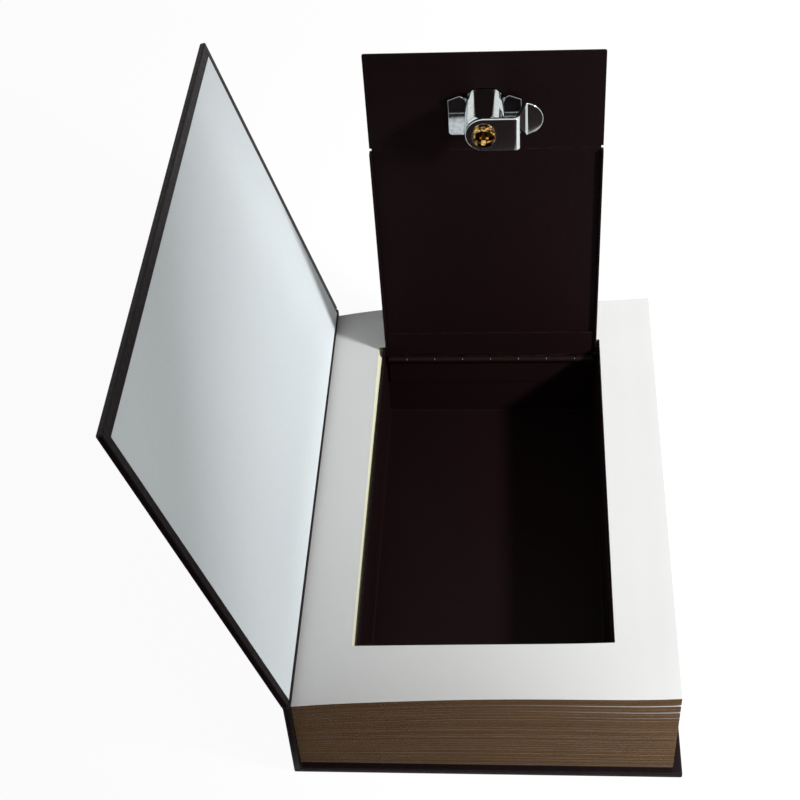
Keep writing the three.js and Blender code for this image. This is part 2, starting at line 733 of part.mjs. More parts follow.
function camScrew() {
  const seat = -camFace - touchGap;
  const end = seat - screwHeadHeight;
  const rounded = [];
  for (let step = 0; step <= arcSteps; step += 1) {
    const turn = Math.PI / 2 * step / arcSteps;
    rounded.push([screwHeadRadius * Math.sin(turn), (seat + end) / 2 + (end - seat) / 2 * Math.cos(turn)]);
  }
  const body = turned([
    [0, end],
    ...rounded.slice(1),
    [screwHeadRadius, seat],
    [screwShankRadius, seat],
    [screwShankRadius, seat + screwShankLength],
    [0, seat + screwShankLength],
  ], fineSteps);
  const arms = [[recessLength, recessWidth], [recessWidth, recessLength]].map(([long, wide]) => slab(
    [-long / 2, long / 2], [-wide / 2, wide / 2], [end - cutOverrun, end + recessDepth],
  ));
  return cut(body, ...arms);
}

// What the key turns. With the cam aside, the keyway and the wafers lie along X.
function turningPieces() {
  const keyed = new THREE.Group();
  keyed.add(mesh('lock_plug', lockPlug(), brass));
  for (let index = 0; index < waferCount; index += 1) {
    keyed.add(mesh(`lock_wafer_${index + 1}`, wafer(index), brass));
    keyed.add(mesh(`wafer_spring_${index + 1}`, waferSpring(index), chrome));
  }
  keyed.rotation.z = Math.PI / 2;
  const group = new THREE.Group();
  group.add(keyed, mesh('lock_cam', lockCam(), chrome), mesh('cam_screw', camScrew(), brass));
  return group;
}

function cashLid() {
  const lock = new THREE.Group();
  lock.add(mesh('lock_housing', lockHousing(), chrome), mesh('lock_clip', lockClip(), chrome), turningPieces());
  lock.position.set(0, -lockReach, leafBack + touchGap);
  const group = new THREE.Group();
  const leaf = hingeLeaf().rotateX(Math.PI / 2);
  group.add(mesh('cash_lid', lidPanel(), paintedSteel), mesh('lid_hinge_leaf', leaf, paintedSteel), lock);
  group.position.set(trayMiddle, lidHingeY, lidHingeZ);
  group.rotation.x = -THREE.MathUtils.degToRad(lidOpening);
  return group;
}

const bookSafe = new THREE.Group();
bookSafe.add(...casePieces(), frontCover(), ...paperPieces(), ...trayPieces(), cashLid());

export default bookSafe;
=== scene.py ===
# %% [markdown]
# # A book that hides a cash box
# The safe is a real bound book: black leatherette over boards, pale lining paper, and a thick
# block of leaves glued round a folded steel tray. The tray has a hinged lid with a small cam lock.
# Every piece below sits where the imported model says, in metres, with X from the spine to the
# fore-edge, Y from the tail to the head and Z up.

# %% Load the frame
import json
import math

import bmesh
import bpy
import numpy as np
from mathutils import Matrix, Vector


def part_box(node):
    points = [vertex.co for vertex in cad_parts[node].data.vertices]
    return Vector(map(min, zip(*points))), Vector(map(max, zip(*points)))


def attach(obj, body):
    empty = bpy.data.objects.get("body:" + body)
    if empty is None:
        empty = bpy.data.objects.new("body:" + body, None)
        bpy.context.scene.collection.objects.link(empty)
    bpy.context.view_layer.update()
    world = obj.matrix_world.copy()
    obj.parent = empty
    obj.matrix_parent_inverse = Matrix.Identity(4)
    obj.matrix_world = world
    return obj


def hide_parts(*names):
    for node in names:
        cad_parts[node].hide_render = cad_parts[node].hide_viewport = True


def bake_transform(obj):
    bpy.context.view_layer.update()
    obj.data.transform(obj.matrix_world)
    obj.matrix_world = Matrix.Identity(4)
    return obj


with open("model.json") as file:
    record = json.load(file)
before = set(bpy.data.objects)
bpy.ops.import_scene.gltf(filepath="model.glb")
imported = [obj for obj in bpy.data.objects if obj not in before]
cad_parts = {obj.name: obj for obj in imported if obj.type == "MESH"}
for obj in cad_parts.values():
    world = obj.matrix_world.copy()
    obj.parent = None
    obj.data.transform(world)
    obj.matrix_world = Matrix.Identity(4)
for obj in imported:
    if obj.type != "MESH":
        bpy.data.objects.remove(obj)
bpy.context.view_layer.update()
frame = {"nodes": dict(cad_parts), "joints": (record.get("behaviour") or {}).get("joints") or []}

MM = 0.001

# %% [markdown]
# ## Reading sizes from the frame
# The boxes of the CAD nodes give most places. The lid, the cover and the lock stand turned, so
# their details are drawn in a frame of their own and then placed by one matrix each. The joints
# give the hinge lines, and the two opening angles are the ones in the photograph.

# %% Places and local frames
COVER_OPENING = 106.2
LID_OPENING = 90.5
JOINTS = {joint["name"]: joint for joint in frame["joints"]}


def joint_place(name):
    return Vector(JOINTS[name]["pos_m"])


def local_frame(origin, rotation):
    """Millimetres in a turned piece's own frame to metres in the row frame."""
    return Matrix.Translation(origin) @ rotation @ Matrix.Scale(MM, 4)


COVER_FRAME = local_frame(joint_place("front_cover_hinge"),
                          Matrix.Rotation(-math.radians(COVER_OPENING), 4, "Y"))
LID_TURN = Matrix.Rotation(-math.radians(LID_OPENING), 4, "X")
LID_FRAME = local_frame(joint_place("lid_hinge"), LID_TURN)
LOCK_FRAME = local_frame(joint_place("lock_turn"), LID_TURN)
ROW_FRAME = Matrix.Scale(MM, 4)
print("lock at", [round(value / MM, 1) for value in joint_place("lock_turn")])

# %% [markdown]
# ## The camera
# The camera was fitted to some sixty corners of the object in the photograph. Its shift is a
# third of a percent, so that the picture's middle falls where the photograph's does.

# %% Camera
IMAGE_PX = 800
FOCAL_PX = 1577.67
MIDDLE_PX = (402.719, 397.955)
CAMERA_MM = Vector((15.154, -445.315, 531.859))
CAMERA_RIGHT = Vector((0.997023, 0.052774, -0.056216))
CAMERA_UP = Vector((0.003086, 0.701173, 0.712985))
SENSOR_MM = 36


def in_scene(name, data):
    made = bpy.data.objects.new(name, data)
    bpy.context.scene.collection.objects.link(made)
    return made


def make_camera():
    data = bpy.data.cameras.new("photo_camera")
    data.sensor_width = SENSOR_MM
    data.lens = FOCAL_PX * SENSOR_MM / IMAGE_PX
    data.shift_x = (IMAGE_PX / 2 - MIDDLE_PX[0]) / IMAGE_PX
    data.shift_y = (MIDDLE_PX[1] - IMAGE_PX / 2) / IMAGE_PX
    camera = in_scene("photo_camera", data)
    back = CAMERA_RIGHT.cross(CAMERA_UP)
    turn = Matrix((CAMERA_RIGHT, CAMERA_UP, back)).transposed().to_4x4()
    camera.matrix_world = Matrix.Translation(CAMERA_MM * MM) @ turn
    bpy.context.scene.camera = camera
    return camera


print("lens", round(make_camera().data.lens, 2), "mm")

# %% [markdown]
# ## Short words for shader nodes
# A material is a small graph. One helper makes a node, sets its settings and connects or fills
# its inputs, so that each finish below reads as a list of its layers. All patterns use Object
# coordinates, which are metres on the real object.

# %% Shader helpers
def fill(tree, socket, value):
    """Connects the socket, or sets it where the value is a plain one."""
    if isinstance(value, bpy.types.NodeSocket):
        tree.links.new(value, socket)
    else:
        socket.default_value = value


def node(tree, kind, inputs=None, **settings):
    """The outputs of a new node."""
    made = tree.nodes.new(kind)
    for key, value in settings.items():
        setattr(made, key, value)
    for key, value in (inputs or {}).items():
        fill(tree, made.inputs[key], value)
    return made.outputs


def maths(tree, operation, first, second):
    return node(tree, "ShaderNodeMath", {0: first, 1: second}, operation=operation)[0]


def linear(red, green, blue):
    """An sRGB colour in 0 to 255 as the linear colour that a shader takes."""
    def one(value):
        share = value / 255
        return share / 12.92 if share <= 0.04045 else ((share + 0.055) / 1.055) ** 2.4
    return (one(red), one(green), one(blue), 1.0)


class Finish:
    """A material with a Principled shader, and the pattern words that the finishes share."""

    def __init__(self, name):
        self.material = bpy.data.materials.new(name)
        self.material.use_nodes = True
        self.tree = self.material.node_tree
        self.shader = self.tree.nodes["Principled BSDF"]
        self.place = self.add("ShaderNodeTexCoord")["Object"]

    def add(self, kind, inputs=None, **settings):
        return node(self.tree, kind, inputs, **settings)

    def noise(self, per_metre, detail, roughness=0.55, stretch=None):
        place = self.place
        if stretch:
            place = self.add("ShaderNodeMapping", {"Vector": place, "Scale": stretch})["Vector"]
        return self.add("ShaderNodeTexNoise", {
            "Vector": place, "Scale": per_metre, "Detail": detail, "Roughness": roughness})["Fac"]

    def cells(self, per_metre):
        return self.add("ShaderNodeTexVoronoi", {"Vector": self.place, "Scale": per_metre})["Distance"]

    def between(self, value, low, high, start=0.0, end=1.0):
        return self.add("ShaderNodeMapRange", {
            "Value": value, "From Min": low, "From Max": high, "To Min": start, "To Max": end})["Result"]

    def sum(self, first, second, share):
        return maths(self.tree, "ADD", first, self.times(second, share))

    def times(self, first, second):
        return maths(self.tree, "MULTIPLY", first, second)

    def blend(self, amount, *colours):
        """Two colours mixed by the amount. A plain one is given as sRGB from 0 to 255."""
        first, second = (linear(*colour) if isinstance(colour, tuple) else colour for colour in colours)
        return self.add("ShaderNodeMix", {0: amount, 6: first, 7: second}, data_type="RGBA")[2]

    def edges(self, radius):
        """1 on edges that are tighter than the radius, 0 on flats."""
        soft = self.add("ShaderNodeBevel", {"Radius": radius}, samples=4)
        flat = self.add("ShaderNodeNewGeometry")
        along = self.add("ShaderNodeVectorMath", {0: soft["Normal"], 1: flat["Normal"]},
                         operation="DOT_PRODUCT")
        return self.between(along["Value"], 0.99, 0.8)

    def facing_up(self, low, high):
        """0 on walls, 1 on faces that look up."""
        normal = self.add("ShaderNodeNewGeometry")["Normal"]
        return self.between(self.add("ShaderNodeSeparateXYZ", {"Vector": normal})["Z"], low, high)

    def relief(self, height, depth, strength):
        self.set(Normal=self.add("ShaderNodeBump", {
            "Height": height, "Distance": depth, "Strength": strength})["Normal"])

    def set(self, **values):
        for key, value in values.items():
            fill(self.tree, self.shader.inputs[key.replace("_", " ")], value)
        return self.material


# %% [markdown]
# ## Leatherette and lining paper
# The case is covered in black book cloth with a fine leather grain. The grain is small cells with
# softer folds between them, the roughness wanders a little, and handling has rubbed the board
# edges paler. The lining inside the cover is smooth paper with a cool tint and faint cloudiness.

# %% Materials of the case
def make_leatherette():
    finish = Finish("leatherette_black")
    grain = finish.cells(1500)
    folds = finish.noise(420, 5.0, 0.6)
    cloud = finish.noise(28, 3.0)
    rub = finish.times(finish.edges(0.0009), finish.between(finish.noise(160, 6.0, 0.7), 0.42, 0.68))
    tone = finish.blend(cloud, (15, 7, 8), (21, 11, 12))
    finish.relief(finish.sum(grain, folds, 0.8), 0.00012, 0.7)
    return finish.set(
        Base_Color=finish.blend(finish.times(rub, 0.45), tone, (96, 84, 86)),
        Roughness=finish.between(folds, 0.3, 0.7, 0.42, 0.6),
        Specular_IOR_Level=0.12,
    )


def make_lining():
    finish = Finish("lining_paper")
    cloud = finish.noise(22, 4.0, 0.5)
    fibres = finish.noise(900, 3.0, 0.6, (1.0, 0.25, 1.0))
    tone = finish.blend(cloud, (232, 241, 245), (238, 246, 249))
    finish.relief(fibres, 0.00003, 0.35)
    return finish.set(
        Base_Color=finish.blend(finish.between(fibres, 0.35, 0.7, 0.0, 0.07), tone, (198, 206, 210)),
        Roughness=0.72,
        Specular_IOR_Level=0.3,
    )


def make_greyboard():
    finish = Finish("greyboard_core")
    flecks = finish.noise(1400, 4.0, 0.7)
    cloud = finish.noise(60, 4.0)
    tone = finish.blend(cloud, (132, 124, 112), (150, 141, 126))
    finish.relief(flecks, 0.00006, 0.5)
    return finish.set(
        Base_Color=finish.blend(finish.between(flecks, 0.55, 0.75), tone, (92, 86, 80)),
        Roughness=0.92,
    )


LEATHERETTE = make_leatherette()
LINING = make_lining()
GREYBOARD = make_greyboard()
print("case finishes:", LEATHERETTE.name, LINING.name, GREYBOARD.name)

# %% [markdown]
# ## Leaf paper
# Seen flat the leaves are clean white. Seen on their cut edges they are tan: partly their own
# brown from the dust that the edges hold, and partly painted shade, a darker tone that stands in
# for the shadow between the leaves, with thin darker lines of painted shade where two leaves
# part. The freshly cut edge of the window is cream. The material tells flat from edge by which
# way a face looks, and finds the cream edge by a number that is stored on the leaves.

# %% Material of the leaves
def make_leaf_paper():
    finish = Finish("leaf_paper")
    cloud = finish.noise(30, 3.0)
    tooth = finish.noise(2200, 2.0)
    lines = finish.noise(1.0, 5.0, 0.65, (12.0, 12.0, 5200.0))
    patches = finish.noise(1.0, 4.0, 0.6, (45.0, 45.0, 260.0))
    face = finish.blend(cloud, (219, 220, 219), (223, 224, 223))
    # The edge tan is partly painted shade, darker than the edges' own colour, and the darker lines are
    # painted shade where leaves part.
    edge = finish.blend(finish.between(patches, 0.3, 0.7), (100, 74, 48), (109, 83, 56))
    edge = finish.blend(finish.between(lines, 0.52, 0.72, 0.0, 0.25), edge, (80, 57, 40))
    at_window = finish.add("ShaderNodeAttribute", attribute_name="window_edge")["Fac"]
    outer = finish.blend(finish.facing_up(0.35, 0.75), edge, face)
    finish.relief(finish.sum(tooth, lines, 0.2), 0.00003, 0.4)
    return finish.set(
        Base_Color=finish.blend(finish.between(at_window, 0.93, 0.97), outer, (232, 229, 200)),
        Roughness=0.88,
        Specular_IOR_Level=0.06,
    )


LEAF_PAPER = make_leaf_paper()
print("leaf finish:", LEAF_PAPER.name)

# %% [markdown]
# ## Painted steel and bare metals
# The tray, the lid and the hinge are sprayed with a black wrinkle paint that has a warm cast, and
# the paint is thin on the folded edges. The lock is chromed with fine polishing marks, its clip is
# satin zinc, its plug is brass, and the small springs are plain spring steel. Its screw is brass
# with big dark brown spots, which are painted dark reflection that dims the gold as the dark
# surroundings mirrored in the dome would.

# %% Materials of the metal pieces
def make_black_steel():
    finish = Finish("black_steel")
    wrinkle = finish.noise(1500, 3.0, 0.6)
    orange_peel = finish.noise(260, 2.0)
    cloud = finish.noise(20, 4.0)
    worn = finish.times(finish.edges(0.0004), finish.between(finish.noise(240, 5.0, 0.7), 0.4, 0.66))
    tone = finish.blend(cloud, (19, 9, 10), (23, 12, 13))
    finish.relief(finish.sum(wrinkle, orange_peel, 1.5), 0.00008, 0.6)
    return finish.set(
        Base_Color=finish.blend(finish.times(worn, 0.5), tone, (74, 62, 62)),
        Roughness=finish.between(wrinkle, 0.3, 0.7, 0.4, 0.55),
        Specular_IOR_Level=0.05,
    )


def make_metal(name, pale, deep, roughest, stretch, spots_per_metre=700, dark_from=0.45, dark_at=0.75):
    """Marks stretch along the polishing, and spots darken the metal and roughen it."""
    finish = Finish(name)
    marks = finish.noise(1.0, 4.0, 0.6, stretch)
    spots = finish.noise(spots_per_metre, 5.0, 0.65)
    finish.relief(marks, 0.00001, 0.25)
    return finish.set(
        Base_Color=finish.blend(finish.between(spots, dark_from, dark_at), pale, deep),
        Metallic=1.0,
        Roughness=finish.between(finish.sum(marks, spots, 0.5), 0.5, 1.0, roughest * 0.45, roughest),
    )


BLACK_STEEL = make_black_steel()
CHROME = make_metal("lock_chrome", (208, 214, 213), (188, 196, 198), 0.07, (3000, 3000, 400))
ZINC = make_metal("clip_zinc", (206, 214, 218), (176, 186, 192), 0.2, (2000, 2000, 2000))
BRASS = make_metal("lock_brass", (222, 176, 92), (120, 72, 30), 0.16, (2600, 2600, 2600))
# The screw's big dark brown spots are painted dark reflection, patches that darken the gold as dark
# surroundings mirrored in its dome would.
SPOTTED_BRASS = make_metal("screw_brass", (240, 200, 118), (58, 28, 12), 0.14, (2600, 2600, 2600),
                       spots_per_metre=420, dark_from=0.4, dark_at=0.54)
SPRING_STEEL = make_metal("spring_steel", (176, 178, 180), (128, 130, 134), 0.4, (3000, 600, 3000))
print("metals:", *(metal.name for metal in (BLACK_STEEL, CHROME, ZINC, BRASS, SPOTTED_BRASS, SPRING_STEEL)))

# %% [markdown]
# ## Words for making pieces
# A finished piece rides on one CAD body, stands in for the CAD node that it redraws, which is
# hidden, and has one material. Its mesh holds its place, so its object stays at the origin.
# Modifiers round edges and give sheets their thickness, and are then worked in.

# %% Piece helpers
def new_piece(name, vertices, faces, placed_by=ROW_FRAME):
    mesh = bpy.data.meshes.new(name)
    mesh.from_pydata([placed_by @ Vector(vertex) for vertex in vertices], [], faces)
    mesh.validate()
    return in_scene(name, mesh)


def edit(piece, work):
    """Runs work on the piece's mesh in bmesh."""
    cage = bmesh.new()
    cage.from_mesh(piece.data)
    work(cage)
    cage.to_mesh(piece.data)
    cage.free()
    piece.data.update()
    return piece


def facing_out(piece):
    return edit(piece, lambda cage: bmesh.ops.recalc_face_normals(cage, faces=cage.faces))


def smooth_below(piece, degrees):
    """Soft shading, except across edges that turn more than this."""
    def work(cage):
        for face in cage.faces:
            face.smooth = True
        for edge in cage.edges:
            sharp = len(edge.link_faces) != 2 or edge.calc_face_angle(0.0) > math.radians(degrees)
            edge.smooth = not sharp
    return edit(piece, work)


def modified(piece, kind, **settings):
    modifier = piece.modifiers.new(kind.lower(), kind)
    for key, value in settings.items():
        setattr(modifier, key, value)
    return piece


def rounded(piece, width, segments, degrees=30):
    return modified(piece, "BEVEL", width=width * MM, segments=segments, limit_method="ANGLE",
                    angle_limit=math.radians(degrees), harden_normals=True)


def plain(piece):
    """The piece with its modifiers worked into its mesh."""
    bpy.context.view_layer.update()
    final = bpy.data.meshes.new_from_object(piece.evaluated_get(bpy.context.evaluated_depsgraph_get()))
    piece.modifiers.clear()
    piece.data = final
    return piece


def finished(piece, body, node_name, material):
    """The piece gets a plain mesh, its finish and its body, and the CAD node that it redraws is hidden.
    """
    if piece.modifiers:
        plain(piece)
    piece.data.materials.clear()
    piece.data.materials.append(material)
    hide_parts(node_name)
    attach(piece, body)
    print(f"{piece.name}: {len(piece.data.polygons)} faces on {body}")


def copy_of_node(node_name, name):
    """The CAD mesh with its shared corners merged and its flat faces whole."""
    def work(cage):
        bmesh.ops.remove_doubles(cage, verts=cage.verts, dist=MM * MM)
        bmesh.ops.dissolve_limit(cage, angle_limit=math.radians(0.5), verts=cage.verts, edges=cage.edges)
    return edit(in_scene(name, frame["nodes"][node_name].data.copy()), work)


def extruded(name, outline, start, end, axis, placed_by=ROW_FRAME):
    """A closed outline pushed along one axis. The outline's two numbers are the other two axes."""
    count = len(outline)
    vertices = []
    for reach in (start, end):
        for pair in outline:
            place = list(pair)
            place.insert("xyz".index(axis), reach)
            vertices.append(place)
    faces = [list(range(count)), list(range(count, 2 * count))]
    for index in range(count):
        after = (index + 1) % count
        faces.append([index, after, count + after, count + index])
    return facing_out(new_piece(name, vertices, faces, placed_by))


def arc(centre, radius, start, end, steps):
    """Points of an arc, in degrees."""
    turns = [math.radians(start + (end - start) * step / steps) for step in range(steps + 1)]
    return [(centre[0] + radius * math.cos(turn), centre[1] + radius * math.sin(turn)) for turn in turns]


def rectangle(left, near, right, far):
    return [(left, near), (right, near), (right, far), (left, far)]


def box_mm(node_name):
    low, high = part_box(node_name)
    return low / MM, high / MM


# %% [markdown]
# ## The leaves
# The block is some four hundred leaves, and they show as fine lines on its cut sides. Each stack
# is made as real leaves, about half a millimetre thick, by Geometry Nodes: one flat leaf with the
# tray's window in it is repeated up the stack, each copy is jogged a hair sideways, and then every
# point is lifted between the stack's lower and upper surface. Those two surfaces are read from
# the CAD solid, so the stacks fan apart at the fore-edge as the real ones do. At the head and the
# tail the leaves arch up softly between spine and fore-edge, as the photograph shows.

# %% One leaf, and the surfaces that it is lifted between
PAPER_CLEARANCE = 0.3
HEAD_CLEARANCE = 0.8
SAME_PLACE = PAPER_CLEARANCE / 10
COLUMNS_BESIDE = 8
COLUMNS_OVER = 12
ROWS_BEFORE = 4
ROWS_BESIDE = 6
ROWS_BEHIND = 4


def stack_surfaces(node_name):
    """Two functions of x and y that give the lowest and the highest z of a stack, in mm."""
    points = np.array([vertex.co for vertex in frame["nodes"][node_name].data.vertices]) / MM
    ends = []
    for edge in (points[:, 1].min(), points[:, 1].max()):
        here = points[np.abs(points[:, 1] - edge) < SAME_PLACE]
        lows = []
        highs = []
        for place in sorted(set(np.round(here[:, 0], 2))):
            heights = here[np.abs(here[:, 0] - place) < SAME_PLACE][:, 2]
            highs.append((place, heights.max()))
            if heights.max() - heights.min() > PAPER_CLEARANCE:
                lows.append((place, heights.min()))
        ends.append((edge, np.array(lows), np.array(highs)))

    def surface(which):
        def height(x, y):
            values = [np.interp(x, end[which][:, 0], end[which][:, 1]) for end in ends]
            share = (y - ends[0][0]) / (ends[1][0] - ends[0][0])
            return values[0] + (values[1] - values[0]) * share
        return height
    return surface(1), surface(2)


def arched(height, share, pressed):
    """The height with the arches at head and tail added, which die away from the ends."""
    low, high = box_mm("upper_leaves")

    def raised(x, y):
        across = (x - low.x) / (high.x - low.x)
        along = (y - low.y) / (high.y - low.y)
        head = HEAD_ARCH * 4 * across * (1 - across) * along ** HEAD_ARCH_POWER
        tail = TAIL_ARCH * math.sin(math.pi * across ** TAIL_ARCH_LEAN) * (1 - along) ** TAIL_ARCH_POWER
        return height(x, y) + share * (head + tail) + pressed
    return raised


def slanted(piece):
    """The fore-edge leans out toward the top, as each leaf is pushed a hair past the one below."""
    low, high = box_mm("upper_leaves")

    def work(cage):
        for vertex in cage.verts:
            beside = max(0, (vertex.co.x / MM - WINDOW[1]) / (high.x - WINDOW[1]))
            sunk = max(0, 1 - vertex.co.z / MM / high.z)
            vertex.co.x -= SLANT * beside * sunk * MM
    return edit(piece, work)


def stations(stops, counts):
    line = [stops[0]]
    for start, end, count in zip(stops, stops[1:], counts):
        line.extend(start + (end - start) * (step + 1) / count for step in range(count))
    return line


def leaf_template(name, node_name, bottom, top, window):
    """One leaf as a thin closed sheet, with the stack's surfaces stored on its points."""
    low, high = box_mm(node_name)
    across = stations([low.x, *window[:2], high.x], [COLUMNS_BESIDE, COLUMNS_OVER, COLUMNS_BESIDE])
    along = stations([low.y, *window[2:4], high.y], [ROWS_BEFORE, ROWS_BESIDE, ROWS_BEHIND])

    def filled(column, row):
        inside = 0 <= column < len(across) - 1 and 0 <= row < len(along) - 1
        over_window = (COLUMNS_BESIDE <= column < COLUMNS_BESIDE + COLUMNS_OVER
                       and ROWS_BEFORE <= row < ROWS_BEFORE + ROWS_BESIDE)
        return inside and not (over_window and window[4])

    vertices = []
    number = {}
    for side in (0, 1):
        for row, y in enumerate(along):
            for column, x in enumerate(across):
                number[side, column, row] = len(vertices)
                vertices.append((x, y, side))
    faces = []
    for row in range(len(along) - 1):
        for column in range(len(across) - 1):
            if not filled(column, row):
                continue
            corners = [(column, row), (column + 1, row), (column + 1, row + 1), (column, row + 1)]
            faces.append([number[1, *corner] for corner in corners])
            faces.append([number[0, *corner] for corner in reversed(corners)])
            beside = [(column, row - 1), (column + 1, row), (column, row + 1), (column - 1, row)]
            for index, neighbour in enumerate(beside):
                if not filled(*neighbour):
                    one, two = corners[index], corners[(index + 1) % 4]
                    faces.append([number[0, *one], number[0, *two], number[1, *two], number[1, *one]])
    piece = new_piece(name, vertices, faces)

    def shade(cage):
        for face in cage.faces:
            face.smooth = abs(face.normal.z) > 0.5
        for edge in cage.edges:
            edge.smooth = all(face.smooth for face in edge.link_faces)
    edit(piece, shade)
    stored = {
        "bottom": lambda x, y, side: bottom(x, y) * MM,
        "top": lambda x, y, side: top(x, y) * MM,
        "upper_face": lambda x, y, side: side,
        "window_edge": lambda x, y, side: (abs(x - window[0]) < SAME_PLACE
                                           and window[2] <= y <= window[3]),
    }
    for key, rule in stored.items():
        values = [float(rule(*vertex)) for vertex in vertices]
        piece.data.attributes.new(key, "FLOAT", "POINT").data.foreach_set("value", values)
    return piece


# %% The Geometry Nodes tree that piles leaves into a stack
def open_tree(name, shape, **inputs):
    """A tree that takes a shape and named inputs. It returns the tree and its inputs' sockets."""
    tree = bpy.data.node_groups.new(name, "GeometryNodeTree")
    for key, kind in {shape: "Geometry", **inputs}.items():
        tree.interface.new_socket(key.replace("_", " "), in_out="INPUT", socket_type=f"NodeSocket{kind}")
    tree.interface.new_socket("Result", in_out="OUTPUT", socket_type="NodeSocketGeometry")
    return tree, node(tree, "NodeGroupInput")


def copies(tree, points, shape):
    """A copy of the shape on each point, as real geometry."""
    placed = node(tree, "GeometryNodeInstanceOnPoints", {"Points": points, "Instance": shape})
    return node(tree, "GeometryNodeRealizeInstances", {"Geometry": placed[0]})[0]


def close_tree(tree, geometry, material):
    painted = node(tree, "GeometryNodeSetMaterial", {"Geometry": geometry, "Material": material})
    node(tree, "NodeGroupOutput", {"Result": painted[0]})
    return tree


def make_stack_tree():
    tree, given = open_tree("pile_of_leaves", "Leaf", Leaves="Int", Paper_Share="Float", Jog="Float",
                            Cut_Back="Float", Seed="Int", Material="Material")

    def stored(name):
        return node(tree, "GeometryNodeInputNamedAttribute", {"Name": name}, data_type="FLOAT")[0]

    def place(x, y, z):
        return node(tree, "ShaderNodeCombineXYZ", {"X": x, "Y": y, "Z": z})[0]

    up = given["Jog"]
    down = maths(tree, "MULTIPLY", up, -1.0)
    jog = node(tree, "FunctionNodeRandomValue", {
        0: place(down, down, 0.0), 1: place(up, up, 0.0), "Seed": given["Seed"],
    }, data_type="FLOAT_VECTOR")
    points = node(tree, "GeometryNodePoints", {"Count": given["Leaves"], "Position": jog[0]})
    index = node(tree, "GeometryNodeInputIndex")[0]
    numbered = node(tree, "GeometryNodeStoreNamedAttribute", {
        "Geometry": points[0], "Name": "leaf_number", "Value": index,
    }, data_type="FLOAT", domain="POINT")
    leaves = copies(tree, numbered[0], given["Leaf"])
    below = maths(tree, "SUBTRACT", stored("upper_face"), 1.0)
    inside = maths(tree, "MULTIPLY", below, given["Paper Share"])
    above = maths(tree, "ADD", maths(tree, "ADD", stored("leaf_number"), 1.0), inside)
    level = maths(tree, "DIVIDE", above, given["Leaves"])
    rise = maths(tree, "MULTIPLY", maths(tree, "SUBTRACT", stored("top"), stored("bottom")), level)
    cut = maths(tree, "MULTIPLY", stored("window_edge"), given["Cut Back"])
    back = maths(tree, "MULTIPLY", cut, maths(tree, "POWER", level, 2.0))
    here = node(tree, "ShaderNodeSeparateXYZ", {"Vector": node(tree, "GeometryNodeInputPosition")[0]})
    target = place(maths(tree, "SUBTRACT", here["X"], back), here["Y"],
                   maths(tree, "ADD", stored("bottom"), rise))
    lifted = node(tree, "GeometryNodeSetPosition", {"Geometry": leaves, "Position": target})
    return close_tree(tree, lifted[0], given["Material"])


def grown(piece, tree, values):
    """The piece run through a Geometry Nodes tree and turned into a plain mesh."""
    modifier = piece.modifiers.new(tree.name, "NODES")
    modifier.node_group = tree
    sockets = {item.name: item.identifier
               for item in tree.interface.items_tree if item.in_out == "INPUT"}
    for name, value in values.items():
        modifier[sockets[name]] = value
    return plain(piece)


# %% Pile the four stacks
STACK_TREE = make_stack_tree()
STACK_SEED = 7
LEAF_PITCH = 0.48
FEWEST_LEAVES = 3
PAPER_SHARE = 0.96
JOG = 0.012
CUT_BACK = 1.8
HEAD_ARCH = 4.1
HEAD_ARCH_POWER = 5
TAIL_ARCH = 3.9
TAIL_ARCH_LEAN = 1.2
TAIL_ARCH_POWER = 10
SLANT = 0.7
PRESSED = 0.09
TRAY_LOW, TRAY_HIGH = box_mm("cash_tray")
WINDOW = (TRAY_LOW.x - PAPER_CLEARANCE, TRAY_HIGH.x + PAPER_CLEARANCE,
          TRAY_LOW.y - PAPER_CLEARANCE, TRAY_HIGH.y + HEAD_CLEARANCE)


def make_stack(name, node_name, seed, bottom=None, top=None, has_window=True,
               arch=(1, 1), pressed=PRESSED):
    """Arch is the share of the arches that each surface takes, and pressed lifts the upper one."""
    surfaces = [arched(*rule) for rule in zip(stack_surfaces(node_name), arch, (0, pressed))]
    bottom = bottom or surfaces[0]
    top = top or surfaces[1]
    leaf = leaf_template(name, node_name, bottom, top, (*WINDOW, has_window))
    corner = box_mm(node_name)[0].xy
    count = max(FEWEST_LEAVES, round((top(*corner) - bottom(*corner)) / LEAF_PITCH))
    return slanted(grown(leaf, STACK_TREE, {
        "Leaves": count, "Paper Share": PAPER_SHARE, "Jog": JOG * MM, "Cut Back": CUT_BACK * MM,
        "Seed": seed, "Material": LEAF_PAPER,
    }))


def joined(pieces):
    """Several pieces as one mesh, under the first one's name."""
    first = pieces[0]

    def work(cage):
        for other in pieces[1:]:
            cage.from_mesh(other.data)
    edit(first, work)
    for other in pieces[1:]:
        bpy.data.objects.remove(other)
    return first


def pocket_floor(x, y):
    return TRAY_LOW.z - PAPER_CLEARANCE


BLOCK = joined([
    make_stack("glued_leaves", "page_block", STACK_SEED, bottom=pocket_floor, arch=(0, 1)),
    make_stack("leaves_under_tray", "page_block", STACK_SEED + 1, top=pocket_floor, has_window=False,
               arch=(0, 0)),
])
finished(BLOCK, "book", "page_block", LEAF_PAPER)
FANNED = {"lower_leaves": (2, PRESSED), "middle_leaves": (3, PRESSED), "upper_leaves": (4, 0)}
for stack, (seed, pressed) in FANNED.items():
    piece = make_stack(f"{stack}_fanned", stack, STACK_SEED + seed, pressed=pressed)
    finished(piece, "book", stack, LEAF_PAPER)

# %% [markdown]
# ## The case
# The back board and the spine are one wrapped L with a round bead at the top, where the cloth
# turns over into the joint. The front cover is a second wrapped board. Both have soft edges,
# because the cloth is drawn round the greyboard. The strip of cloth over the joint is one sheet
# that bends round the bead, drawn at the cover's present opening.

